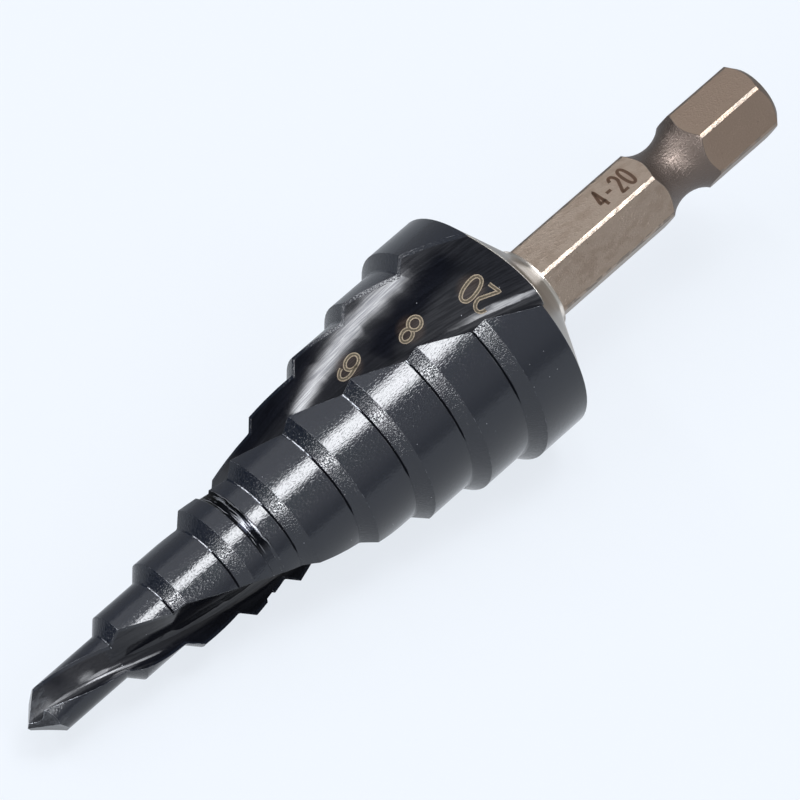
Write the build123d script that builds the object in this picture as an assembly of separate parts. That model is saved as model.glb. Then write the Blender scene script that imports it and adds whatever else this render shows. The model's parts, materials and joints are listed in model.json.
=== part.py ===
from build123d import *
import math
import os

import numpy
from scipy.spatial import ConvexHull

# A step drill bit for 4 to 20 mm holes, in millimetres. It is ground from one bar of high-speed
# steel, so it is one solid. It is modelled on its own axis, +Z from the point to the shank, and
# then laid down the way it comes to rest.

# Steps: each one starts with a conical chamfer and goes on as a cylinder.
first_diameter = 4.0
step_growth = 2.0
step_count = 8
step_pitch = 5.0
chamfer_angle = 45.0
first_base = 8.3
last_land = 4.27
base_flat = 0.09

# Shallow ring left on the land of the third step, where two grinding passes meet.
ring_step = 3
ring_from_base = 2.48
ring_width = 1.05
ring_depth = 0.18

# Rear cone and the round collar at the root of the shank.
rear_half_angle = 58.5
collar_radius = 3.7
collar_length = 0.05
collar_fillet = 0.45

# Hexagon shank of the nominal 6.3 mm (quarter inch) size, with the groove for a ball detent.
hex_flats = 6.2
hex_corner_cut = 0.09
hex_corner_angle = -4.5
shank_length = 24.8
groove_from_end = 9.8
groove_floor_radius = 2.4
groove_arc = 3.65
end_radius = 2.72

# Flutes: two, right-handed. The wall under the cutting edge leans over the flute, the floor is
# almost flat, and the core between the flutes grows from the point to the shank.
flute_count = 2
helix_at_point = 14.3
helix_at_rear = 20.9
flute_angle_at_rear = 176.0
core_at_point = 0.48
core_at_middle = 3.2
core_at_rear = 7.63
root_radius_at_point = 0.66
root_radius_at_rear = 2.12
wall_lean = 15.7
floor_slope = 3.4
station_spacing = 2.2
flute_clearance = 1.5

# Point: a lip flank and a steeper heel flank behind each cutting edge.
lip_from_flute = 45.0
lip_point_angle = 103.0
lip_relief = 15.0
heel_point_angle = 141.0
heel_relief = 47.0

first_radius = first_diameter / 2
rise = step_growth / 2
chamfer_length = rise / math.tan(math.radians(chamfer_angle))
last_radius = first_radius + step_count * rise
last_corner = first_base + (step_count - 1) * step_pitch + chamfer_length
rear_edge = last_corner + last_land
collar_base = rear_edge + (last_radius - collar_radius) / math.tan(math.radians(rear_half_angle))
hex_start = collar_base + collar_fillet * math.tan(math.radians(rear_half_angle) / 2) + collar_length
tool_length = hex_start + shank_length
hex_corner_radius = hex_flats / math.sqrt(3)


def rounded_outline(corners):
    # Lines through (radius, height, fillet) corners in the XZ plane, with an arc at each fillet.
    points = [Vector(radius, 0, height) for radius, height, _ in corners]
    edges = []
    pen = points[0]
    for index in range(1, len(corners)):
        corner = points[index]
        radius = corners[index][2]
        if radius == 0:
            edges.append(Edge.make_line(pen, corner))
            pen = corner
            continue
        before = (points[index - 1] - corner).normalized()
        after = (points[index + 1] - corner).normalized()
        half = math.radians(before.get_angle(after)) / 2
        start = corner + before * (radius / math.tan(half))
        end = corner + after * (radius / math.tan(half))
        middle = corner + (before + after).normalized() * (radius / math.sin(half) - radius)
        edges.append(Edge.make_line(pen, start))
        edges.append(Edge.make_three_point_arc(start, middle, end))
        pen = end
    return Face(Wire(edges))


def turned_body():
    # The worn corner of the wheel leaves a narrow flat at the foot of each chamfer.
    flat_rise = base_flat * math.sin(math.radians(chamfer_angle))
    flat_run = base_flat * math.cos(math.radians(chamfer_angle))
    corners = [(0, 0, 0), (first_radius, 0, 0)]
    for step in range(1, step_count + 1):
        base = first_base + (step - 1) * step_pitch
        inner = first_radius + (step - 1) * rise
        outer = inner + rise
        corners.append((inner, base - base_flat, 0))
        corners.append((inner + flat_rise, base + flat_run, 0))
        corners.append((outer, base + chamfer_length, 0))
        if step == ring_step:
            ring = base + ring_from_base
            corners.append((outer, ring, 0))
            corners.append((outer - ring_depth, ring + ring_depth, 0))
            corners.append((outer - ring_depth, ring + ring_width - ring_depth, 0))
            corners.append((outer, ring + ring_width, 0))
    corners.append((last_radius, rear_edge, 0))
    corners.append((collar_radius, collar_base, collar_fillet))
    corners.append((collar_radius, hex_start, 0))
    corners.append((0, hex_start, 0))
    corners.append((0, 0, 0))
    return revolve(rounded_outline(corners), Axis.Z)


def base_cone_radius(height):
    # Radius of the cone through the bases of the steps.
    return max(first_radius, first_radius + (height - first_base) * rise / step_pitch)


def twist_rate(height):
    helix = helix_at_point + (helix_at_rear - helix_at_point) * height / rear_edge
    return math.degrees(math.tan(math.radians(helix)) / base_cone_radius(height))


def flute_angle(height):
    parts = 60
    length = (rear_edge - height) / parts
    turned = sum(twist_rate(height + (part + 0.5) * length) for part in range(parts)) * length
    return flute_angle_at_rear - turned


def core_radius(height):
    share = height / rear_edge
    front = core_at_point * (1 - share) * (1 - 2 * share)
    middle = core_at_middle * 4 * share * (1 - share)
    return front + middle + core_at_rear * share * (2 * share - 1)


def beyond(start, direction, reach):
    # Point on the ray from start at the distance reach from the axis.
    along = start.dot(direction)
    return start + direction * (math.sqrt(along**2 + reach**2 - start.dot(start)) - along)


def flute_section(height):
    # Floor, root arc and wall of the ground flute, closed by two lines outside the tool.
    share = height / rear_edge
    root = root_radius_at_point + (root_radius_at_rear - root_radius_at_point) * share
    reach = base_cone_radius(height) + rise + flute_clearance
    lean = math.radians(wall_lean)
    slope = math.radians(floor_slope)
    centre = Vector(core_radius(height) + root, 0)
    half_sweep = (lean + math.pi / 2 - slope) / 2
    floor_end = centre + Vector(-math.cos(slope), -math.sin(slope)) * root
    middle = centre + Vector(-math.cos(half_sweep), math.sin(half_sweep)) * root
    wall_end = centre + Vector(math.sin(lean), math.cos(lean)) * root
    floor_far = beyond(floor_end, Vector(math.sin(slope), -math.cos(slope)), reach)
    wall_far = beyond(wall_end, Vector(math.cos(lean), -math.sin(lean)), reach)
    apex = Vector(2.2 * reach, 0)
    outline = Wire([
        Edge.make_line(floor_far, floor_end),
        Edge.make_three_point_arc(floor_end, middle, wall_end),
        Edge.make_line(wall_end, wall_far),
        Edge.make_line(wall_far, apex),
        Edge.make_line(apex, floor_far),
    ])
    return Pos(0, 0, height) * Rot(0, 0, flute_angle(height)) * outline


def flute_cutter():
    first = -flute_clearance
    last = hex_start
    count = math.ceil((last - first) / station_spacing)
    heights = [first + (last - first) * number / count for number in range(count + 1)]
    return Solid.make_loft([flute_section(height) for height in heights])


def flank(point_angle, relief):
    # Half-space in front of one flat flank: it holds everything that the flank grinds away.
    falls_outward = 1 / math.tan(math.radians(point_angle) / 2)
    falls_behind = math.tan(math.radians(relief))
    normal = Vector(falls_outward, falls_behind, -1)
    size = 6 * first_radius
    return Plane((0, 0, 0), z_dir=normal) * Pos(0, 0, size / 2) * Box(2 * size, 2 * size, size)


def ground_body():
    body = turned_body()
    cutter = flute_cutter()
    lip = Rot(0, 0, flute_angle(0) + lip_from_flute)
    for flute in range(flute_count):
        turn = Rot(0, 0, flute * 360 / flute_count)
        body = body - turn * cutter
        body = body - turn * lip * flank(lip_point_angle, lip_relief)
        body = body - turn * lip * flank(heel_point_angle, heel_relief)
    return body


def shank():
    # The flats are milled on a turned bar, which leaves a narrow strip of it at each corner.
    section = Rot(0, 0, hex_corner_angle) * RegularPolygon(hex_corner_radius, 6)
    flats = extrude(Pos(0, 0, collar_base) * section, tool_length - collar_base)
    bar_radius = hex_corner_radius - hex_corner_cut
    bar_outline = Polyline(
        (0, collar_base),
        (bar_radius, collar_base),
        (bar_radius, tool_length - (bar_radius - end_radius)),
        (end_radius, tool_length),
        (0, tool_length),
        close=True,
    )
    bar = revolve(make_face(Plane.XZ * bar_outline), Axis.Z)
    groove = Pos(0, 0, tool_length - groove_from_end) * Torus(groove_floor_radius + groove_arc, groove_arc)
    return (flats & bar) - groove


def lying_down(tool):
    # Lays the tool on the facet of its convex hull where it comes to rest, the one that is
    # under the centre of mass and lets it down lowest, with its axis along X. The tool looks
    # the same after half a turn, so the facet is taken from the side that the flute is on.
    centre = numpy.array(tuple(tool.center(CenterOf.MASS)))
    samples = [number / 8 for number in range(9)]
    points = numpy.array([tuple(edge @ sample) for edge in tool.edges() for sample in samples])
    hull = ConvexHull(points - centre)
    flute_side = math.radians(flute_angle(last_corner))
    down = Vector(math.cos(flute_side), math.sin(flute_side), 0)
    lowest = last_radius
    for plane, corners in zip(hull.equations, hull.simplices):
        weights = numpy.linalg.solve(hull.points[corners].T, plane[:3])
        outward = Vector(*plane[:3])
        height = -plane[3]
        if weights.min() > 0 and outward.dot(down) > 0 and height < lowest:
            lowest = height
            normal = outward
    along = Vector(0, 0, 1) - normal * normal.Z
    lying = Plane((0, 0, 0), x_dir=along, z_dir=normal * -1).location.inverse() * tool
    box = lying.bounding_box()
    return Pos(-box.center().X, -box.center().Y, -box.min.Z) * lying


step_drill_bit = lying_down(ground_body() + shank())

os.makedirs("parts", exist_ok=True)
export_step(step_drill_bit, "parts/step_drill_bit.step")
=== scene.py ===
import bpy
import json
import math
from mathutils import Matrix, Vector


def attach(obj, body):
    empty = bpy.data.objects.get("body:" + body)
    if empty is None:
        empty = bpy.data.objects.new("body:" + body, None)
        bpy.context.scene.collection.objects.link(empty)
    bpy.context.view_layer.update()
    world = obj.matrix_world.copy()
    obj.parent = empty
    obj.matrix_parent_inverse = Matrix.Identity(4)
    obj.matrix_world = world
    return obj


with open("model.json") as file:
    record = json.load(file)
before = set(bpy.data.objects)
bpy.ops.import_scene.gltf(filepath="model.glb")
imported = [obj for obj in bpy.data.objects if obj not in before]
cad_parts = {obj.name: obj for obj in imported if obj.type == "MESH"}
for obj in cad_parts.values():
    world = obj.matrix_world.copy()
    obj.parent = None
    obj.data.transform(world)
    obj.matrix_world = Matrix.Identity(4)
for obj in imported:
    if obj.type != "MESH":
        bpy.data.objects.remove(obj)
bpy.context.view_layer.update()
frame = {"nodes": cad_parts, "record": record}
scene = bpy.context.scene
mm = 0.001

# The record's mounts give the tool's own axis, and the drive flat says which way round it lies.
drill = frame["nodes"]["step_drill_bit"]
mounts = {mount["name"]: mount for mount in frame["record"]["mounts"]}
shankEnd = Vector(mounts["shank_end"]["pos_m"])
axisOut = Vector(mounts["shank_end"]["axis"]).normalized()
flatOut = Vector(mounts["drive_flat"]["axis"]).normalized()
flatTurn = 25.5  # degrees from the tool's zero mark to the drive flat
toolLength = max((shankEnd - vertex.co).dot(axisOut) for vertex in drill.data.vertices)
toolPoint = shankEnd - axisOut * toolLength
zeroMark = Matrix.Rotation(math.radians(-flatTurn), 3, axisOut) @ flatOut
quarterMark = axisOut.cross(zeroMark)
print("tool axis found, length in mm:", round(toolLength / mm, 2))


def toward(azimuth, elevation):
    # Direction for an azimuth and an elevation in degrees.
    azimuth = math.radians(azimuth)
    elevation = math.radians(elevation)
    level = math.cos(elevation)
    return Vector((math.cos(azimuth) * level, math.sin(azimuth) * level, math.sin(elevation)))


def outFrom(turn):
    # Direction out from the tool's axis, at a turn in degrees.
    angle = math.radians(turn)
    return zeroMark * math.cos(angle) + quarterMark * math.sin(angle)


# Camera

photoView = {
    "azimuth": 47.994,
    "elevation": 48.381,
    "roll": -2.764,
    "distance": 380.0,
    "aim": (0.036, 0.505, 8.137),
    "lens": 225.0,
    "clipStart": 0.01,
}


def addCamera(view):
    forward = toward(view["azimuth"], -view["elevation"])
    roll = math.radians(view["roll"])
    flatRight = forward.cross(Vector((0, 0, 1))).normalized()
    flatUp = flatRight.cross(forward)
    right = flatRight * math.cos(roll) + flatUp * math.sin(roll)
    up = right.cross(forward)
    data = bpy.data.cameras.new("photoCamera")
    data.lens = view["lens"]
    data.clip_start = view["clipStart"]
    camera = bpy.data.objects.new("photoCamera", data)
    scene.collection.objects.link(camera)
    place = Vector(view["aim"]) * mm - forward * view["distance"] * mm
    turned = Matrix((right, up, -forward)).transposed().to_4x4()
    camera.matrix_world = Matrix.Translation(place) @ turned
    scene.camera = camera


addCamera(photoView)
print("camera placed")


# Node helpers

def put(tree, kind, **settings):
    node = tree.nodes.new(kind)
    for name, value in settings.items():
        setattr(node, name, value)
    return node


def plug(tree, socket, value):
    if isinstance(value, bpy.types.NodeSocket):
        tree.links.new(value, socket)
    else:
        socket.default_value = value


def calc(tree, operation, *values, clamp=False):
    node = put(tree, "ShaderNodeMath", operation=operation, use_clamp=clamp)
    for socket, value in zip(node.inputs, values):
        plug(tree, socket, value)
    return node.outputs[0]


def times(tree, first, *others):
    for other in others:
        first = calc(tree, "MULTIPLY", first, other)
    return first


def oneMinus(tree, value):
    return calc(tree, "SUBTRACT", 1.0, value)


def gapOf(tree, first, second):
    return calc(tree, "ABSOLUTE", calc(tree, "SUBTRACT", first, second))


def rising(tree, value, low, high):
    # 0 below low, 1 above high, smooth in between.
    node = put(tree, "ShaderNodeMapRange", interpolation_type="SMOOTHSTEP")
    plug(tree, node.inputs["Value"], value)
    plug(tree, node.inputs["From Min"], low)
    plug(tree, node.inputs["From Max"], high)
    return node.outputs["Result"]


def falling(tree, value, low, high):
    # 1 below low, 0 above high, smooth in between.
    return oneMinus(tree, rising(tree, value, low, high))


def vectorCalc(tree, operation, first, second):
    node = put(tree, "ShaderNodeVectorMath", operation=operation)
    plug(tree, node.inputs[0], first)
    plug(tree, node.inputs[1], second)
    return node.outputs["Value" if operation in ("DOT_PRODUCT", "DISTANCE") else "Vector"]


def joinVector(tree, *values):
    node = put(tree, "ShaderNodeCombineXYZ")
    for socket, value in zip(node.inputs, values):
        plug(tree, socket, value)
    return node.outputs["Vector"]


def noiseAt(tree, point, scale, detail=2.0, dimensions="3D"):
    node = put(tree, "ShaderNodeTexNoise", noise_dimensions=dimensions)
    plug(tree, node.inputs["Vector"], point)
    plug(tree, node.inputs["Scale"], scale)
    plug(tree, node.inputs["Detail"], detail)
    return node.outputs["Fac"]


def blendValues(tree, share, first, second, kind="FLOAT"):
    node = put(tree, "ShaderNodeMix", data_type=kind)
    plug(tree, node.inputs["Factor"], share)
    plug(tree, node.inputs["A"], first)
    plug(tree, node.inputs["B"], second)
    return node.outputs["Result"]


def blendColors(tree, share, first, second):
    return blendValues(tree, share, first, second, kind="RGBA")


def newMaterial(name):
    material = bpy.data.materials.new(name)
    material.use_nodes = True
    return material, material.node_tree


def addBump(tree, height, distance):
    node = put(tree, "ShaderNodeBump")
    node.inputs["Distance"].default_value = distance
    plug(tree, node.inputs["Height"], height)
    return node


def newGroup(name, inputs, outputs):
    # Inputs have their usual values: those with three are places or directions.
    tree = bpy.data.node_groups.new(name, "ShaderNodeTree")
    for label, value in inputs.items():
        kind = "NodeSocketVector" if isinstance(value, tuple) else "NodeSocketFloat"
        socket = tree.interface.new_socket(name=label, in_out="INPUT", socket_type=kind)
        socket.default_value = value
    for label in outputs:
        kind = "NodeSocketVector" if label == "Point" else "NodeSocketFloat"
        tree.interface.new_socket(name=label, in_out="OUTPUT", socket_type=kind)
    return tree, put(tree, "NodeGroupInput").outputs, put(tree, "NodeGroupOutput").inputs


def useGroup(tree, group, place=(), values=()):
    # Inputs that have the name of one of toolPlace's outputs are joined to it.
    node = put(tree, "ShaderNodeGroup", node_tree=group)
    for socket in node.inputs:
        if socket.name in place:
            plug(tree, socket, place[socket.name])
    for name, value in dict(values).items():
        plug(tree, node.inputs[name], value)
    return node.outputs


# Node groups: where a place is on the tool, and what that means for its surface. Sizes are in mm,
# heights run from the tool's point to its shank, and a fade goes from its first value to its last.

nowhere = (0.0, 0.0, 0.0)
steps = {
    "firstRadius": 2.0,
    "rise": 1.0,
    "count": 8,
    "pitch": 5.0,
    "firstBase": 8.3,
    "chamfer": 1.0,
    "chamferSlack": 0.02,
    "fluteDepth": (0.22, 0.26),
}


def buildToolPlace():
    # Where a surface point lies on the tool, in mm and radians.
    tree, _, result = newGroup("toolPlace", {}, ("Height", "Radius", "Turn", "Point"))
    here = put(tree, "ShaderNodeTexCoord").outputs["Object"]
    fromPoint = vectorCalc(tree, "SUBTRACT", here, toolPoint)
    height, side, across = (
        times(tree, vectorCalc(tree, "DOT_PRODUCT", fromPoint, direction), 1 / mm)
        for direction in (axisOut, zeroMark, quarterMark)
    )
    squares = calc(tree, "ADD", times(tree, side, side), times(tree, across, across))
    plug(tree, result["Height"], height)
    plug(tree, result["Radius"], calc(tree, "SQRT", squares))
    plug(tree, result["Turn"], calc(tree, "ARCTAN2", across, side))
    plug(tree, result["Point"], joinVector(tree, side, across, height))
    return tree


def onMasks(place):
    # The same for a place in the row frame, as the value of a Point input.
    offset = place - toolPoint
    return tuple(offset.dot(direction) / mm for direction in (zeroMark, quarterMark, axisOut))


def stepsAlong(tree, height):
    # Height above the foot of the first chamfer, counted in steps.
    above = calc(tree, "SUBTRACT", height, steps["firstBase"])
    return calc(tree, "DIVIDE", above, steps["pitch"])


def stepNumber(tree, along, rounding, least):
    number = calc(tree, "MAXIMUM", calc(tree, rounding, along), least)
    return calc(tree, "MINIMUM", number, steps["count"] - 1.0)


def waveRound(tree, turn, middle, count):
    # Cosine that runs round the tool count times, with a top at the middle in degrees.
    fromMiddle = calc(tree, "SUBTRACT", turn, math.radians(middle))
    return calc(tree, "COSINE", times(tree, fromMiddle, count))


def buildStepProfile():
    # What is down in a flute, below the turned profile, and what is on a chamfer.
    tree, given, result = newGroup(
        "stepProfile", {"Height": 0.0, "Radius": 0.0}, ("In Flute", "On Chamfer")
    )
    along = stepsAlong(tree, given["Height"])
    index = stepNumber(tree, along, "FLOOR", -1.0)
    past = times(tree, calc(tree, "SUBTRACT", along, index), steps["pitch"])
    climbed = calc(tree, "DIVIDE", past, steps["chamfer"], clamp=True)
    started = calc(tree, "GREATER_THAN", along, 0.0)
    grown = times(tree, calc(tree, "ADD", index, climbed), started)
    profile = calc(tree, "MULTIPLY_ADD", grown, steps["rise"], steps["firstRadius"])
    depth = calc(tree, "SUBTRACT", profile, given["Radius"])
    plug(tree, result["In Flute"], rising(tree, depth, *steps["fluteDepth"]))
    onFace = calc(tree, "LESS_THAN", past, steps["chamfer"] - steps["chamferSlack"])
    plug(tree, result["On Chamfer"], times(tree, onFace, started))
    return tree


grainShape = {"stretch": (1.0, 1.0, 0.5), "top": 0.85}


def buildGrain():
    # Fine unevenness of a surface: small bumps drawn out along the tool, on a coarser swell.
    tree, given, result = newGroup(
        "grain",
        {
            "Point": nowhere,
            "Fine Size": 0.11,
            "Coarse Size": 0.7,
            "Coarse Share": 0.25,
            "Threshold": 0.3,
        },
        ("Height",),
    )
    stretched = vectorCalc(tree, "MULTIPLY", given["Point"], grainShape["stretch"])
    fine, coarse = (
        noiseAt(tree, stretched, calc(tree, "DIVIDE", 1.0, given[size]), detail=1.0)
        for size in ("Fine Size", "Coarse Size")
    )
    bumps = rising(tree, fine, given["Threshold"], grainShape["top"])
    plug(tree, result["Height"], blendValues(tree, given["Coarse Share"], bumps, coarse))
    return tree


grindShape = {"onPoint": 0.125, "onCone": 1.254, "growth": 0.0124, "drift": 0.08}


def buildGrindLines():
    # Lines that the wheel leaves along the flute. They keep their place in the flute's section,
    # which turns with the helix and grows with the cone.
    tree, given, result = newGroup(
        "grindLines", {"Height": 0.0, "Point": nowhere, "Line Density": 75.0}, ("Lines",)
    )
    height = given["Height"]
    slope = steps["rise"] / steps["pitch"]
    coneStart = steps["firstRadius"] - steps["firstBase"] * slope
    cone = calc(tree, "MULTIPLY_ADD", height, slope, coneStart)
    cone = calc(tree, "MAXIMUM", cone, steps["firstRadius"])
    twist = times(tree, calc(tree, "LOGARITHM", cone, math.e), grindShape["onCone"])
    twist = calc(tree, "MULTIPLY_ADD", height, grindShape["growth"], twist)
    onPoint = calc(tree, "MINIMUM", height, steps["firstBase"])
    twist = calc(tree, "MULTIPLY_ADD", onPoint, grindShape["onPoint"], twist)
    turned = put(tree, "ShaderNodeVectorRotate", rotation_type="Z_AXIS")
    plug(tree, turned.inputs["Vector"], given["Point"])
    plug(tree, turned.inputs["Angle"], times(tree, twist, -1.0))
    section = put(tree, "ShaderNodeSeparateXYZ")
    plug(tree, section.inputs[0], turned.outputs["Vector"])
    density = calc(tree, "DIVIDE", given["Line Density"], cone)
    onSection = joinVector(
        tree,
        times(tree, section.outputs[0], density),
        times(tree, section.outputs[1], density),
        times(tree, height, grindShape["drift"]),
    )
    plug(tree, result["Lines"], noiseAt(tree, onSection, 1.0))
    return tree


speckShape = {"coreShare": 0.6}


def buildSpecks():
    # Scattered small spots, such as nicks and stains: 1 inside a spot.
    tree, given, result = newGroup(
        "specks", {"Point": nowhere, "Spacing": 1.2, "Spot": 0.09, "Share": 0.3}, ("Mask",)
    )
    cells = put(tree, "ShaderNodeTexVoronoi", feature="F1")
    plug(tree, cells.inputs["Vector"], given["Point"])
    plug(tree, cells.inputs["Scale"], calc(tree, "DIVIDE", 1.0, given["Spacing"]))
    reach = times(tree, cells.outputs["Distance"], given["Spacing"])
    core = times(tree, given["Spot"], speckShape["coreShare"])
    inside = falling(tree, reach, core, given["Spot"])
    picked = put(tree, "ShaderNodeSeparateColor")
    plug(tree, picked.inputs["Color"], cells.outputs["Color"])
    chosen = calc(tree, "LESS_THAN", picked.outputs["Red"], given["Share"])
    plug(tree, result["Mask"], times(tree, inside, chosen))
    return tree


# Where the painted shade and painted highlight lines at the chamfer feet lie round the tool.
footShape = {
    "patchScale": 0.6,
    "even": 0.6,
    "uneven": 0.8,
    "least": 0.02,
    "endFade": (0.0, 0.2),
    "Dark": {"middle": 4.0, "nearFade": (0.2, 0.52)},
    "Bright": {"middle": -28.0, "nearFade": (0.84, 0.904)},
}


def buildFootLines():
    # Painted highlight and painted shade at each chamfer's foot: a thin bright line near the
    # cutting edge and a dark one further round. Both fade towards the heel, and both lands are
    # alike.
    tree, given, result = newGroup(
        "footLines",
        {"Height": 0.0, "Turn": 0.0, "Point": nowhere, "Dark Width": 0.1, "Bright Width": 0.05},
        ("Dark", "Bright"),
    )
    along = stepsAlong(tree, given["Height"])
    gap = gapOf(tree, along, stepNumber(tree, along, "ROUND", 0.0))
    gap = times(tree, gap, steps["pitch"])
    patches = noiseAt(tree, given["Point"], footShape["patchScale"])
    uneven = calc(tree, "MULTIPLY_ADD", patches, footShape["uneven"], footShape["even"])
    for label in ("Dark", "Bright"):
        wave = waveRound(tree, given["Turn"], footShape[label]["middle"], 2.0)
        near = rising(tree, wave, *footShape[label]["nearFade"])
        width = calc(tree, "MULTIPLY_ADD", uneven, near, footShape["least"])
        width = times(tree, width, given[label + " Width"])
        line = falling(tree, gap, times(tree, width, 0.5), width)
        plug(tree, result[label], times(tree, line, rising(tree, near, *footShape["endFade"])))
    return tree


ringShape = {
    "startFade": (20.76, 20.88),
    "endFade": (21.81, 21.93),
    "wander": 0.22,
    "wanderScale": 1.1,
    "middle": -25.0,
    "nearFade": (-0.15, 0.3),
    "lineScale": (7.0, 2.0),
    "lineFade": (0.56, 0.64),
}


def buildRingMark():
    # Shallow ring where two grinding passes meet: painted shade over part of the way round, with a
    # few fine painted highlight lines in it.
    tree, given, result = newGroup(
        "ringMark", {"Height": 0.0, "Turn": 0.0, "Point": nowhere}, ("Dark", "Bright")
    )
    patches = noiseAt(tree, given["Point"], ringShape["wanderScale"])
    shift = calc(tree, "SUBTRACT", patches, 0.5)
    height = calc(tree, "MULTIPLY_ADD", shift, ringShape["wander"], given["Height"])
    entered = rising(tree, height, *ringShape["startFade"])
    left = rising(tree, height, *ringShape["endFade"])
    wave = waveRound(tree, given["Turn"], ringShape["middle"], 2.0)
    near = rising(tree, wave, *ringShape["nearFade"])
    band = times(tree, calc(tree, "SUBTRACT", entered, left), near)
    alongScale, roundScale = ringShape["lineScale"]
    spread = joinVector(
        tree, times(tree, height, alongScale), times(tree, given["Turn"], roundScale)
    )
    lines = noiseAt(tree, spread, 1.0, dimensions="2D")
    bright = times(tree, rising(tree, lines, *ringShape["lineFade"]), band)
    plug(tree, result["Bright"], bright)
    plug(tree, result["Dark"], calc(tree, "SUBTRACT", band, bright, clamp=True))
    return tree


rearShape = {
    "edge": 48.57,
    "edgeFade": (48.59, 48.69),
    "slope": 1.632,  # loss of radius over height on the cone
    "coneFade": (0.06, 0.12),
    "collarFade": (52.1, 52.3),
    "shankFade": (52.55, 52.9),
    "footFade": (50.1, 50.8),
    "footTurn": -11.0,
    "footNear": (0.1, 1.0),
    "footLeast": 0.1,
}
shankShape = {
    "start": 52.83,
    "corner": 3.49,
    "cornerFade": (3.465, 3.478),
    "endChamfer": 0.77,
    "chamferGap": 0.03,
    "grooveFromEnd": 9.8,
    "grooveFloor": 2.4,
    "grooveArc": 3.65,
    "grooveReach": 2.8,
    "grooveFade": (0.02, 0.07),
}


def buildShankParts():
    # Masks behind the steps: the bare steel, its rear cone and collar, the painted highlight on the
    # foot below each corner, the detent groove, the strips of turned bar at the corners and the
    # chamfer at the end.
    tree, given, result = newGroup(
        "shankParts",
        {"Height": 0.0, "Radius": 0.0, "Turn": 0.0},
        ("Bare", "Cone", "Foot", "Groove", "Corner", "End"),
    )
    height, radius = given["Height"], given["Radius"]

    lastRadius = steps["firstRadius"] + steps["rise"] * steps["count"]
    coneStart = lastRadius + rearShape["edge"] * rearShape["slope"]
    cone = calc(tree, "MULTIPLY_ADD", height, -rearShape["slope"], coneStart)
    onCone = falling(tree, gapOf(tree, radius, cone), *rearShape["coneFade"])
    onCone = times(tree, onCone, rising(tree, height, *rearShape["edgeFade"]))
    pastCone = rising(tree, height, *rearShape["collarFade"])
    plug(tree, result["Bare"], calc(tree, "MAXIMUM", onCone, pastCone))

    # Below the shank: the cone, and the foot where a painted highlight goes, brightest below each
    # corner.
    beforeShank = falling(tree, height, *rearShape["shankFade"])
    corners = waveRound(tree, given["Turn"], rearShape["footTurn"], 6.0)
    corners = rising(tree, corners, *rearShape["footNear"])
    corners = blendValues(tree, corners, rearShape["footLeast"], 1.0)
    byShank = rising(tree, height, *rearShape["footFade"])
    plug(tree, result["Cone"], beforeShank)
    plug(tree, result["Foot"], times(tree, byShank, corners, beforeShank))

    offset = calc(tree, "SUBTRACT", height, toolLength / mm - shankShape["grooveFromEnd"])
    left = calc(tree, "SUBTRACT", shankShape["grooveArc"] ** 2, times(tree, offset, offset))
    sunk = calc(tree, "SQRT", calc(tree, "MAXIMUM", left, 0.0))
    grooveRadius = calc(tree, "SUBTRACT", shankShape["grooveFloor"] + shankShape["grooveArc"], sunk)
    groove = falling(tree, gapOf(tree, radius, grooveRadius), *shankShape["grooveFade"])
    inside = calc(tree, "LESS_THAN", calc(tree, "ABSOLUTE", offset), shankShape["grooveReach"])
    plug(tree, result["Groove"], times(tree, groove, inside))

    nearCorner = rising(tree, radius, *shankShape["cornerFade"])
    onShank = calc(tree, "GREATER_THAN", height, shankShape["start"])
    plug(tree, result["Corner"], times(tree, nearCorner, onShank))

    pastBevel = calc(tree, "SUBTRACT", height, toolLength / mm - shankShape["endChamfer"])
    bevel = calc(tree, "SUBTRACT", shankShape["corner"], calc(tree, "MAXIMUM", pastBevel, 0.0))
    onBevel = calc(tree, "LESS_THAN", gapOf(tree, radius, bevel), shankShape["chamferGap"])
    plug(tree, result["End"], times(tree, onBevel, calc(tree, "GREATER_THAN", pastBevel, 0.0)))
    return tree


tintShape = {"coreShare": 0.55}


def buildHeatTint():
    # Soft stain round a laser mark, around one place on the tool.
    tree, given, result = newGroup(
        "heatTint", {"Point": nowhere, "Place": nowhere, "Reach": 1.0}, ("Mask",)
    )
    gap = vectorCalc(tree, "DISTANCE", given["Point"], given["Place"])
    core = times(tree, given["Reach"], tintShape["coreShare"])
    plug(tree, result["Mask"], falling(tree, gap, core, given["Reach"]))
    return tree


toolPlace = buildToolPlace()
stepProfile = buildStepProfile()
grain = buildGrain()
grindLines = buildGrindLines()
specks = buildSpecks()
footLines = buildFootLines()
ringMark = buildRingMark()
shankParts = buildShankParts()
heatTint = buildHeatTint()
print("node groups built")


# Laser marks: plain numbers. Each is placed by its last digit, in mm from the point and degrees
# round the tool, with its tops towards the point or round the shank.

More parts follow.
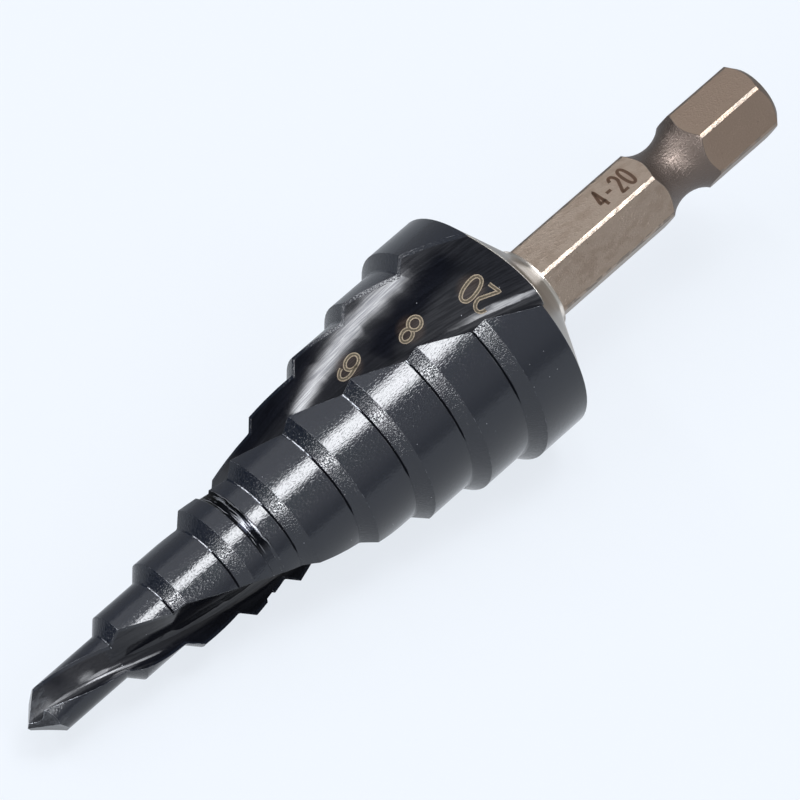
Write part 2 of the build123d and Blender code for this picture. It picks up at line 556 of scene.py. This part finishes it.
marks = {
    "size6": {"text": "6", "height": 36.16, "turn": -54.7, "look": "flute"},
    "size8": {"text": "8", "height": 41.16, "turn": -35.2, "look": "flute"},
    "size20": {"text": "20", "height": 46.32, "turn": -23.5, "look": "flute"},
    "sizeRange": {"text": "4-20", "height": 63.85, "turn": -34.5, "look": "shank"},
}
markLooks = {
    "flute": {
        "up": (0.0, 0.2, -1.0), "tall": 2.2, "wide": 0.98, "pitch": 1.35, "stroke": 0.3,
        "edge": (0.22, 0.18, 0.13, 1), "core": (0.05, 0.04, 0.026, 1),
    },
    "shank": {
        "up": (-0.566, -0.824, 0.0), "tall": 1.85, "wide": 0.62, "pitch": 0.98, "stroke": 0.29,
        "edge": (0.07, 0.037, 0.021, 1), "core": (0.04, 0.021, 0.012, 1),
    },
}
markShape = {
    "height": 0.008,  # of a ribbon's top above the steel, in mm
    "root": 0.03,  # depth of its underside in the steel
    "spacing": 0.07,  # between points along a stroke
    "closedGap": 0.01,  # below which a stroke's ends are one point
    "searchRadius": 11.0,  # where the search for a mark's place starts
    "searchOut": 0.8,  # how far out the search for each point starts
    "steepest": -0.2,  # cosine past which a surface turns away too much
}
inkLook = {
    "mottle": {"Fine Size": 0.07, "Coarse Size": 0.3},
    "uneven": 0.3,
    "rim": (0.16, 0.27),
    "rough": 0.75,
    "specular": 0.25,
    "bump": 0.01,
}


def roundStroke(middle, size, start, end, squareness=1.0):
    # Points along an oval or part of one, in shares of a digit's width and height.
    count = max(8, int(abs(end - start) / 9))
    points = []
    for number in range(count + 1):
        angle = math.radians(start + (end - start) * number / count)
        sideways = math.copysign(abs(math.cos(angle)) ** squareness, math.cos(angle))
        upwards = math.copysign(abs(math.sin(angle)) ** squareness, math.sin(angle))
        points.append((middle[0] + size[0] * sideways, middle[1] + size[1] * upwards))
    return points


digitStrokes = {
    "0": [roundStroke((0, 0), (0.5, 0.5), 0, 360, 0.85)],
    "2": [roundStroke((0, 0.22), (0.48, 0.28), 165, -25) + [(-0.5, -0.5), (0.5, -0.5)]],
    "4": [[(0.22, -0.5), (0.22, 0.5), (-0.5, -0.22), (0.5, -0.22)]],
    "6": [
        roundStroke((0, -0.2), (0.5, 0.3), 0, 360),
        [(-0.5, -0.2)] + roundStroke((0, 0.15), (0.5, 0.35), 180, 2),
    ],
    "8": [
        roundStroke((0, 0.25), (0.42, 0.25), 0, 360),
        roundStroke((0, -0.25), (0.5, 0.25), 0, 360),
    ],
    "-": [[(-0.4, 0.0), (0.4, 0.0)]],
}


def fineStroke(points, spacing):
    # The same line with points no further apart than the spacing.
    fine = [points[0]]
    for start, end in zip(points, points[1:]):
        parts = max(1, math.ceil(math.dist(start, end) / spacing))
        for part in range(1, parts + 1):
            share = part / parts
            fine.append(tuple(a + (b - a) * share for a, b in zip(start, end)))
    return fine


def onDrill(start, inward):
    # Place and normal where a ray meets the drill from outside.
    hit, place, normal, _ = drill.ray_cast(start, inward)
    return (place, normal) if hit and normal.dot(inward) < markShape["steepest"] else None


def markPlace(mark):
    outward = outFrom(mark["turn"])
    start = toolPoint + axisOut * mark["height"] * mm + outward * markShape["searchRadius"] * mm
    return onDrill(start, -outward)


def addStroke(points, width, frameAt, shape):
    # Lays one stroke on the drill as a thin closed ribbon; the first and last corners of each ring
    # are on the stroke's left, and so are 0 across it.
    middle, reading, up, outward = frameAt
    closed = math.dist(points[0], points[-1]) < markShape["closedGap"]
    line = fineStroke(points, markShape["spacing"])
    if closed:
        line = line[:-1]
    rings = []
    for index, point in enumerate(line):
        before = line[index - 1] if closed or index > 0 else point
        after = line[(index + 1) % len(line)] if closed or index < len(line) - 1 else point
        along = Vector((after[0] - before[0], after[1] - before[1])).normalized()
        ring = []
        for side in (-0.5, 0.5):
            x = point[0] - along.y * side * width
            y = point[1] + along.x * side * width
            offset = reading * x + up * y + outward * markShape["searchOut"]
            found = onDrill(middle + offset * mm, -outward)
            if found is None:
                return False
            ring.append(found)
        rings.append(ring)
    base = len(shape["vertices"])
    top = markShape["height"] * mm
    root = markShape["root"] * mm
    for (left, leftOut), (right, rightOut) in rings:
        shape["vertices"].append(left + leftOut * top)
        shape["vertices"].append(right + rightOut * top)
        shape["vertices"].append(right - rightOut * root)
        shape["vertices"].append(left - leftOut * root)
        shape["across"].extend((0.0, 1.0, 1.0, 0.0))
    count = len(rings)
    for index in range(count if closed else count - 1):
        here = base + 4 * index
        there = base + 4 * ((index + 1) % count)
        for first, second in ((0, 1), (1, 2), (2, 3), (3, 0)):
            shape["faces"].append((here + first, there + first, there + second, here + second))
    if not closed:
        last = base + 4 * (count - 1)
        shape["faces"].append((base, base + 1, base + 2, base + 3))
        shape["faces"].append((last + 3, last + 2, last + 1, last))
    return True


def buildMark(name, mark, materials):
    look = markLooks[mark["look"]]
    place, outward = markPlace(mark)
    sideShare, acrossShare, alongShare = look["up"]
    towardTops = zeroMark * sideShare + quarterMark * acrossShare + axisOut * alongShare
    up = (towardTops - outward * towardTops.dot(outward)).normalized()
    reading = up.cross(outward)
    shape = {"vertices": [], "faces": [], "across": []}
    last = len(mark["text"]) - 1
    for index, digit in enumerate(mark["text"]):
        middle = place + reading * (index - last) * look["pitch"] * mm
        for stroke in digitStrokes[digit]:
            points = [(x * look["wide"], y * look["tall"]) for x, y in stroke]
            if not addStroke(points, look["stroke"], (middle, reading, up, outward), shape):
                print("a stroke of", name, "runs off its surface and is left out")
    mesh = bpy.data.meshes.new(name)
    mesh.from_pydata(shape["vertices"], [], shape["faces"])
    layer = mesh.attributes.new("across", "FLOAT", "POINT")
    layer.data.foreach_set("value", shape["across"])
    mesh.materials.append(materials[mark["look"]])
    piece = bpy.data.objects.new(name, mesh)
    scene.collection.objects.link(piece)
    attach(piece, "root")


def buildInk(name, look):
    # A laser stroke: paler along its edges, darker and uneven along its middle.
    material, tree = newMaterial(name)
    surface = tree.nodes["Principled BSDF"].inputs
    place = useGroup(tree, toolPlace)
    across = put(tree, "ShaderNodeAttribute", attribute_name="across").outputs["Fac"]
    mottle = useGroup(tree, grain, place, inkLook["mottle"])["Height"]
    shift = calc(tree, "SUBTRACT", mottle, 0.5)
    rim = calc(tree, "MULTIPLY_ADD", shift, inkLook["uneven"], gapOf(tree, across, 0.5))
    color = blendColors(tree, rising(tree, rim, *inkLook["rim"]), look["core"], look["edge"])
    plug(tree, surface["Base Color"], color)
    surface["Roughness"].default_value = inkLook["rough"]
    surface["Specular IOR Level"].default_value = inkLook["specular"]
    bump = addBump(tree, mottle, inkLook["bump"] * mm)
    plug(tree, surface["Normal"], bump.outputs["Normal"])
    return material


inks = {name: buildInk(name + "Ink", look) for name, look in markLooks.items()}
for markName, markData in marks.items():
    buildMark(markName, markData, inks)
print("marks laid on the drill")


# The drill's steel, with painted shade and painted highlights in its colour. Pairs of values are
# fades again, of a height in mm or of a noise.

tintLook = {"reach": 1.35, "share": 0.7, "color": (0.034, 0.025, 0.021, 1)}
steelLook = {
    # Coating, and where it is stained, dusty or worn, with painted shade and painted highlights
    "coating": (0.0066, 0.0084, 0.0132, 1),
    "fluteCoating": (0.0046, 0.0052, 0.0078, 1),
    # Painted shade for the lines at the chamfer feet and in the ring
    "paintedShadeLine": (0.004, 0.0045, 0.006, 1),
    "dusty": (0.03, 0.032, 0.037, 1),
    "dustyTip": (1.6, 3.4),
    "dustyPatch": (0.0, 0.5),
    # Grey steel for worn edges and nicks, also used for painted highlights
    "worn": (0.30, 0.31, 0.33, 1),
    "nearPoint": (3.0, 9.0),
    "edgeRadius": 0.05,
    "edgeTurn": (0.995, 0.94),
    "edgePatch": (0.25, 0.55),
    "edgeShare": 0.5,
    "pointPatch": 0.25,
    "pointEdges": 1.6,
    "dashPatch": (0.05, 0.3),
    "ringShare": 0.3,
    "nickShare": 0.85,
    "dullLines": (0.35, 0.65),
    "dullShare": 0.45,
    # Bare steel of the rear cone and the shank, with a painted highlight on the foot
    "bare": (0.336, 0.271, 0.219, 1),
    "bareDark": (0.2896, 0.2286, 0.1814, 1),
    "barePatch": (0.25, 0.5),
    "endDark": (0.265, 0.2, 0.155, 1),
    "endFade": (67.0, 71.0),
    "spotSteel": (0.13, 0.085, 0.055, 1),
    "spotShare": 0.6,
    "cornerSteel": (0.2, 0.166, 0.138, 1),
    "cornerPatch": (0.12, 0.32),
    "coneSteel": (0.37, 0.345, 0.31, 1),
    # Painted highlight on the foot below each corner of the hex
    "footHighlight": (0.95, 0.89, 0.82, 1),
    "footShare": 0.75,
    "footDull": -0.45,
    "grooveSteel": (0.14, 0.113, 0.098, 1),
    "endShare": 0.7,
    # Noises and spots
    "patches": {"Fine Size": 0.4, "Coarse Size": 1.5, "Threshold": 0.4},
    "coatNoise": {"Threshold": 0.4},
    "bareNoise": {"Fine Size": 0.5, "Coarse Size": 2.4, "Coarse Share": 0.6},
    "nicks": {"Spacing": 0.9, "Spot": 0.05, "Share": 0.25},
    "spots": {"Spacing": 0.8, "Spot": 0.07, "Share": 0.3},
    # Gloss
    "coatRough": 0.11,
    "fluteRough": 0.085,
    "pointRough": 0.18,
    "chamferRough": 0.17,
    "bareRough": 0.34,
    "grooveRough": 0.4,
    "ior": 1.5,
    # Relief in mm
    "landGrain": 0.0068,
    "chamferGrain": 0.02,
    "fluteGrain": 0.001,
    "bareGrain": 0.012,
    "grooveGrain": 0.035,
}


def heatStain(tree, place, look):
    # Stain round all the marks.
    stain = 0.0
    for mark in marks.values():
        values = {"Place": onMasks(markPlace(mark)[0]), "Reach": look["reach"]}
        stain = calc(tree, "MAXIMUM", stain, useGroup(tree, heatTint, place, values)["Mask"])
    return times(tree, stain, look["share"])


def wornEdges(tree, look, softNormal, atPoint, patchy, darkFoot):
    # Sharp edges that are rubbed down to the steel and carry a painted highlight, most of all near
    # the point.
    normal = put(tree, "ShaderNodeNewGeometry").outputs["Normal"]
    turn = vectorCalc(tree, "DOT_PRODUCT", softNormal, normal)
    patches = calc(tree, "MULTIPLY_ADD", atPoint, look["pointPatch"], patchy)
    edgePatchMask = rising(tree, patches, *look["edgePatch"])
    sharp = times(tree, rising(tree, turn, *look["edgeTurn"]), edgePatchMask)
    sharp = times(tree, sharp, calc(tree, "SUBTRACT", look["edgeShare"], darkFoot, clamp=True))
    more = calc(tree, "MULTIPLY_ADD", atPoint, look["pointEdges"], 1.0)
    return calc(tree, "MULTIPLY", sharp, more, clamp=True)


def bareColor(tree, look, place, parts, patchy):
    # Bare steel behind the steps: uneven, with spots, nicked corners and a dark groove, and with a
    # painted highlight on the foot below each corner.
    noise = useGroup(tree, grain, place, look["bareNoise"])["Height"]
    color = blendColors(
        tree, rising(tree, noise, *look["barePatch"]), look["bareDark"], look["bare"]
    )
    spots = useGroup(tree, specks, place, look["spots"])["Mask"]
    nicked = times(tree, parts["Corner"], rising(tree, patchy, *look["cornerPatch"]))
    layers = (
        (rising(tree, place["Height"], *look["endFade"]), "endDark"),
        (times(tree, spots, look["spotShare"]), "spotSteel"),
        (nicked, "cornerSteel"),
        (parts["Cone"], "coneSteel"),
        (times(tree, parts["Foot"], look["footShare"]), "footHighlight"),
        (parts["Groove"], "grooveSteel"),
        (times(tree, parts["End"], look["endShare"]), "spotSteel"),
    )
    for share, name in layers:
        color = blendColors(tree, share, color, look[name])
    return color


def buildSteel(look):
    material, tree = newMaterial("coatedToolSteel")
    surface = tree.nodes["Principled BSDF"].inputs
    place = useGroup(tree, toolPlace)
    profile = useGroup(tree, stepProfile, place)
    parts = useGroup(tree, shankParts, place)
    bare = parts["Bare"]
    coated = oneMinus(tree, bare)
    inFlute = times(tree, profile["In Flute"], coated)
    onLand = times(tree, oneMinus(tree, inFlute), coated)
    atPoint = falling(tree, place["Height"], *look["nearPoint"])

    patchy = useGroup(tree, grain, place, look["patches"])["Height"]
    coatNoise = useGroup(tree, grain, place, look["coatNoise"])["Height"]
    lines = useGroup(tree, grindLines, place)["Lines"]
    nicks = useGroup(tree, specks, place, look["nicks"])["Mask"]
    foot = useGroup(tree, footLines, place)
    ring = useGroup(tree, ringMark, place)
    edges = put(tree, "ShaderNodeBevel", samples=4)
    edges.inputs["Radius"].default_value = look["edgeRadius"] * mm

    # Dark coating, stained round the marks, with painted shade lines at the chamfer feet and in the
    # ring, painted highlights there, and some edges worn to the steel with a painted highlight on
    # them.
    dust = falling(tree, place["Height"], *look["dustyTip"])
    dust = times(tree, dust, rising(tree, patchy, *look["dustyPatch"]))
    # Painted shade: dark lines at the foot of each chamfer and in the ring.
    dark = times(tree, calc(tree, "MAXIMUM", foot["Dark"], ring["Dark"]), onLand)
    # Painted highlights: bright dashes at the chamfer feet and fine lines in the ring; the nicks
    # are real.
    highlightDashes = times(tree, foot["Bright"], rising(tree, patchy, *look["dashPatch"]))
    lit = calc(tree, "MAXIMUM", highlightDashes, times(tree, ring["Bright"], look["ringShare"]))
    lit = calc(tree, "MAXIMUM", times(tree, lit, onLand), times(tree, nicks, look["nickShare"]))
    sharp = wornEdges(tree, look, edges.outputs["Normal"], atPoint, patchy, foot["Dark"])
    worn = times(tree, calc(tree, "MAXIMUM", sharp, lit), coated)
    coat = blendColors(tree, inFlute, look["coating"], look["fluteCoating"])
    coat = blendColors(tree, dust, coat, look["dusty"])
    coat = blendColors(tree, heatStain(tree, place, tintLook), coat, tintLook["color"])
    coat = blendColors(tree, dark, coat, look["paintedShadeLine"])
    coat = blendColors(tree, worn, coat, look["worn"])
    steel = bareColor(tree, look, place, parts, patchy)
    plug(tree, surface["Base Color"], blendColors(tree, bare, coat, steel))

    # Dull lines in the flutes are a darker metal that mirrors less than the coating.
    dull = times(tree, falling(tree, lines, *look["dullLines"]), inFlute, look["dullShare"])
    metal = calc(tree, "MAXIMUM", calc(tree, "MAXIMUM", dull, dark), worn)
    bareMetal = times(tree, bare, calc(tree, "MULTIPLY_ADD", parts["Foot"], look["footDull"], 1.0))
    plug(tree, surface["Metallic"], calc(tree, "MAXIMUM", bareMetal, metal))

    bareRough = blendValues(tree, parts["Groove"], look["bareRough"], look["grooveRough"])
    landRough = blendValues(tree, profile["On Chamfer"], look["coatRough"], look["chamferRough"])
    fluteRough = blendValues(tree, atPoint, look["fluteRough"], look["pointRough"])
    coatRough = blendValues(tree, inFlute, landRough, fluteRough)
    coatRough = blendValues(tree, times(tree, lit, coated), coatRough, look["bareRough"])
    plug(tree, surface["Roughness"], blendValues(tree, bare, coatRough, bareRough))
    surface["IOR"].default_value = look["ior"]

    # Relief: ground lines in the flutes, fine grain elsewhere, and small edges that catch light.
    bareDepth = blendValues(tree, parts["Groove"], look["bareGrain"], look["grooveGrain"])
    depth = blendValues(tree, profile["On Chamfer"], look["landGrain"], look["chamferGrain"])
    depth = blendValues(tree, bare, depth, bareDepth)
    depth = blendValues(tree, inFlute, depth, look["fluteGrain"])
    relief = times(tree, blendValues(tree, inFlute, coatNoise, lines), depth)
    bump = addBump(tree, relief, mm)
    plug(tree, bump.inputs["Normal"], edges.outputs["Normal"])
    plug(tree, surface["Normal"], bump.outputs["Normal"])
    return material


drill.data.materials[0] = buildSteel(steelLook)
print("steel made")


# Stage: a pale floor under a studio sky

stageLook = {
    "floorSize": 3.0,
    "backdrop": (0.885, 0.93, 0.99, 1),
    "shadowCatch": (0.085, 0.09, 0.096, 1),
    "shown": 0.817,
    "mirroredFront": 0.82,
    "mirroredBack": 0.36,
    "mirrorFade": (-0.02, 0.01),
    "frontSide": (-0.2, -0.98, 0.0),
    "skyColor": (0.913, 0.933, 0.967, 1),
    "skyFront": 1.0,
    "skyBack": 0.42,
    "skyFade": (-0.35, 0.1),
}

# Soft lights and dark screens round the tool. Each runs from one direction to another, given as
# azimuth and elevation in degrees, with a half width and a soft rim in degrees.
softLights = {
    "key": {"ends": ((-18, 78), (-60, 64)), "halfWidth": 6, "rim": 4, "level": 24},
    "keyRim": {"ends": ((6, 63), (-32, 62)), "halfWidth": 5, "rim": 3, "level": 12},
    "overhead": {"ends": ((-116, 79), (79, 75)), "halfWidth": 3.5, "rim": 2.5, "level": 13},
    "front": {"ends": ((-178, 12), (-169, 8)), "halfWidth": 5.5, "rim": 3.5, "level": 40},
    "strip": {"ends": ((-168, 56), (100, 35)), "halfWidth": 2.0, "rim": 1.8, "level": 20},
    "side": {"ends": ((-82, 57), (-84, 30)), "halfWidth": 3, "rim": 2, "level": 12},
    "low": {"ends": ((-96, 42), (-93, 24)), "halfWidth": 2.5, "rim": 2, "level": 8},
    "fill": {"ends": ((27, 79), (77, 44)), "halfWidth": 9, "rim": 6, "level": 0.9},
}
darkScreens = {
    "gap": {"ends": ((-146, 53), (130, 67)), "halfWidth": 4.5, "rim": 2.5, "level": 1.0},
    "left": {"ends": ((125, 8), (165, 10)), "halfWidth": 12, "rim": 6, "level": 1.0},
    "right": {"ends": ((-52, 6), (-88, 6)), "halfWidth": 12, "rim": 9, "level": 0.5},
    "behind": {"ends": ((128, 50), (99, 4)), "halfWidth": 9, "rim": 4, "level": 0.97},
    "beyond": {"ends": ((-12, 58), (-48, 12)), "halfWidth": 9, "rim": 6, "level": 0.97},
    "beside": {"ends": ((-45, 55), (-62, 18)), "halfWidth": 11, "rim": 8, "level": 0.45},
    "over": {"ends": ((-112, 54), (-150, 48)), "halfWidth": 7, "rim": 5, "level": 0.6},
}


def buildSkyPatch():
    # Rectangle in the sky with soft rims: 1 inside.
    tree, given, result = newGroup(
        "skyPatch",
        {
            "Direction": nowhere,
            "Middle": nowhere,
            "Along": nowhere,
            "Across": nowhere,
            "Half Length": 0.2,
            "Half Width": 0.1,
            "Rim": 0.05,
        },
        ("Mask",),
    )
    facing, along, across = (
        vectorCalc(tree, "DOT_PRODUCT", given["Direction"], given[label])
        for label in ("Middle", "Along", "Across")
    )
    facing = calc(tree, "MAXIMUM", facing, 0.01)
    masks = []
    for value, half in ((along, given["Half Length"]), (across, given["Half Width"])):
        reach = calc(tree, "ABSOLUTE", calc(tree, "DIVIDE", value, facing))
        inner = calc(tree, "SUBTRACT", half, given["Rim"])
        outer = calc(tree, "ADD", half, given["Rim"])
        masks.append(falling(tree, reach, inner, outer))
    plug(tree, result["Mask"], times(tree, *masks))
    return tree


def patchMask(tree, group, direction, look):
    first, last = (toward(*end) for end in look["ends"])
    middle = (first + last).normalized()
    along = (last - first).normalized()
    values = {
        "Direction": direction,
        "Middle": middle,
        "Along": along,
        "Across": middle.cross(along),
        "Half Length": math.tan(first.angle(last) / 2),
        "Half Width": math.tan(math.radians(look["halfWidth"])),
        "Rim": math.tan(math.radians(look["rim"])),
    }
    return useGroup(tree, group, values=values)["Mask"]


def buildFloor(look):
    half = look["floorSize"] / 2
    corners = [(-half, -half, 0), (half, -half, 0), (half, half, 0), (-half, half, 0)]
    mesh = bpy.data.meshes.new("floor")
    mesh.from_pydata(corners, [], [(0, 1, 2, 3)])
    floor = bpy.data.objects.new("floor", mesh)
    scene.collection.objects.link(floor)
    material, tree = newMaterial("paleFloor")
    tree.nodes.clear()
    rays = put(tree, "ShaderNodeLightPath").outputs
    here = put(tree, "ShaderNodeTexCoord").outputs["Object"]
    inFront = vectorCalc(tree, "DOT_PRODUCT", here, look["frontSide"])
    inFront = rising(tree, inFront, *look["mirrorFade"])
    mirrored = blendValues(tree, inFront, look["mirroredBack"], look["mirroredFront"])
    indirect = calc(tree, "ADD", rays["Is Glossy Ray"], rays["Is Transmission Ray"], clamp=True)
    seen = times(tree, rays["Is Camera Ray"], look["shown"])
    seen = calc(tree, "MULTIPLY_ADD", indirect, mirrored, seen)
    shine = put(tree, "ShaderNodeEmission")
    shine.inputs["Color"].default_value = look["backdrop"]
    plug(tree, shine.inputs["Strength"], seen)
    paint = put(tree, "ShaderNodeBsdfDiffuse")
    paint.inputs["Color"].default_value = look["shadowCatch"]
    both = put(tree, "ShaderNodeAddShader")
    plug(tree, both.inputs[0], shine.outputs[0])
    plug(tree, both.inputs[1], paint.outputs[0])
    plug(tree, put(tree, "ShaderNodeOutputMaterial").inputs["Surface"], both.outputs[0])
    mesh.materials.append(material)


def buildSky(look):
    world = bpy.data.worlds.new("studio")
    world.use_nodes = True
    scene.world = world
    tree = world.node_tree
    tree.nodes.clear()
    patch = buildSkyPatch()
    direction = put(tree, "ShaderNodeTexCoord").outputs["Generated"]
    inFront = vectorCalc(tree, "DOT_PRODUCT", direction, look["frontSide"])
    inFront = rising(tree, inFront, *look["skyFade"])
    level = blendValues(tree, inFront, look["skyBack"], look["skyFront"])
    for screen in darkScreens.values():
        shade = times(tree, patchMask(tree, patch, direction, screen), screen["level"])
        level = times(tree, level, oneMinus(tree, shade))
    for light in softLights.values():
        mask = patchMask(tree, patch, direction, light)
        level = calc(tree, "MULTIPLY_ADD", mask, light["level"], level)
    sky = put(tree, "ShaderNodeBackground")
    sky.inputs["Color"].default_value = look["skyColor"]
    plug(tree, sky.inputs["Strength"], level)
    plug(tree, put(tree, "ShaderNodeOutputWorld").inputs["Surface"], sky.outputs[0])


buildFloor(stageLook)
buildSky(stageLook)
scene.view_settings.view_transform = "Standard"
print("floor and sky ready")
